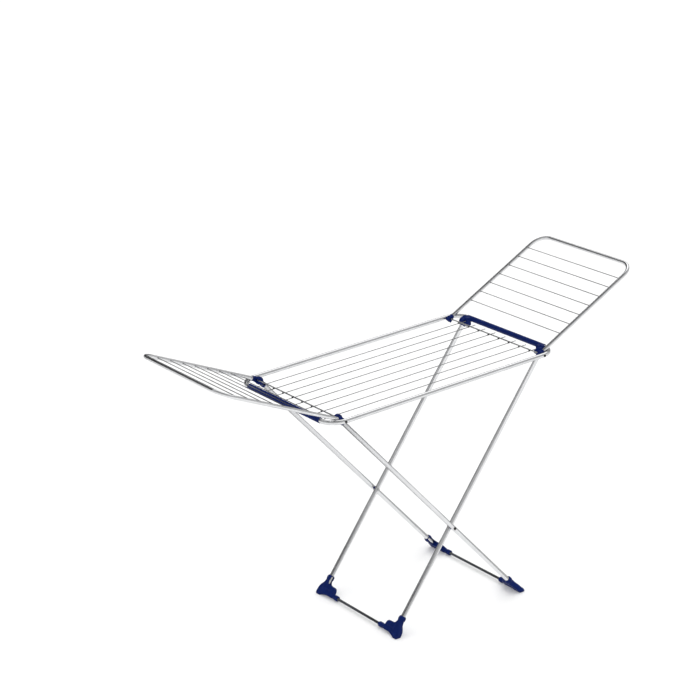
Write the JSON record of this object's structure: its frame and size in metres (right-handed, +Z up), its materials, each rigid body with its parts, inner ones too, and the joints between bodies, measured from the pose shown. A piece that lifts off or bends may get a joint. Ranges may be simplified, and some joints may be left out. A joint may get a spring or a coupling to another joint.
{
  "type": "clothes drying rack",
  "caption": "Free-standing winged airer: a wire table on crossed folding legs, with a wired wing hinged at each end, silver tube and blue moulded fittings",
  "frame": {"origin": "on the floor, under the middle of the table", "axes": "+X along the rack from the left end, whose legs hook on, to the right end, whose legs are hinged; +Y to the back; +Z up"},
  "size_m": [1.7684, 0.5718, 1.1094],
  "materials": {
    "tube": "satin silver tube with a fine lengthwise grain",
    "rod": "plain drawn rod, darker than the tube",
    "wire": "bright drawn wire",
    "dark_tube": "thin foot bar tube, dark grey",
    "blue_plastic": "navy blue moulded plastic, satin gloss with a faint grain"
  },
  "bodies": {
    "frame": {"table_ring": "tube", "axle_rod_left": "rod", "axle_rod_right": "rod", "table_wire_1": "wire", "table_wire_2": "wire", "table_wire_3": "wire", "table_wire_4": "wire", "table_wire_5": "wire", "table_wire_6": "wire", "table_wire_7": "wire", "table_wire_8": "wire", "end_sheath_left": "blue_plastic"},
    "leg_pair_a": {"leg_a_hinge_sleeve": "blue_plastic", "leg_a_tube_front": "tube", "leg_a_tube_back": "tube", "leg_a_foot_front": "blue_plastic", "leg_a_foot_back": "blue_plastic", "leg_a_foot_bar": "dark_tube", "cross_pin_front": "rod", "cross_pin_back": "rod", "cross_washer_front": "blue_plastic", "cross_washer_back": "blue_plastic"},
    "leg_pair_b": {"leg_b_tube_front": "tube", "leg_b_tube_back": "tube", "leg_b_hook_front": "blue_plastic", "leg_b_hook_back": "blue_plastic", "leg_b_foot_front": "blue_plastic", "leg_b_foot_back": "blue_plastic", "leg_b_foot_bar": "dark_tube"},
    "wing_left": {"wing_left_tube": "tube", "wing_left_cap_front": "blue_plastic", "wing_left_cap_back": "blue_plastic", "wing_left_wire_1": "wire", "wing_left_wire_2": "wire", "wing_left_wire_3": "wire", "wing_left_wire_4": "wire", "wing_left_wire_5": "wire", "wing_left_wire_6": "wire", "wing_left_wire_7": "wire"},
    "wing_right": {"wing_right_tube": "tube", "wing_right_cap_front": "blue_plastic", "wing_right_cap_back": "blue_plastic", "wing_right_wire_1": "wire", "wing_right_wire_2": "wire", "wing_right_wire_3": "wire", "wing_right_wire_4": "wire", "wing_right_wire_5": "wire", "wing_right_wire_6": "wire", "wing_right_wire_7": "wire"}
  },
  "joints": [
    {"name": "leg_a_hinge", "type": "hinge", "parent": "frame", "child": "leg_pair_a", "pos_m": [0.484, 0, 0.887], "axis": [0, -1, 0], "range_deg": [0, 34.6]},
    {"name": "leg_cross", "type": "hinge", "parent": "leg_pair_a", "child": "leg_pair_b", "pos_m": [0.0275, 0, 0.337], "axis": [0, -1, 0], "range_deg": [-69.2, 0]},
    {"name": "wing_left_hinge", "type": "hinge", "parent": "frame", "child": "wing_left", "pos_m": [-0.429, 0, 0.887], "axis": [0, 1, 0], "range_deg": [0, 151.2]},
    {"name": "wing_right_hinge", "type": "hinge", "parent": "frame", "child": "wing_right", "pos_m": [0.429, 0, 0.887], "axis": [0, -1, 0], "range_deg": [0, 153.7]}
  ],
  "couplings": [
    {"joint": "leg_cross", "follows": "leg_a_hinge", "ratio": -2}
  ]
}
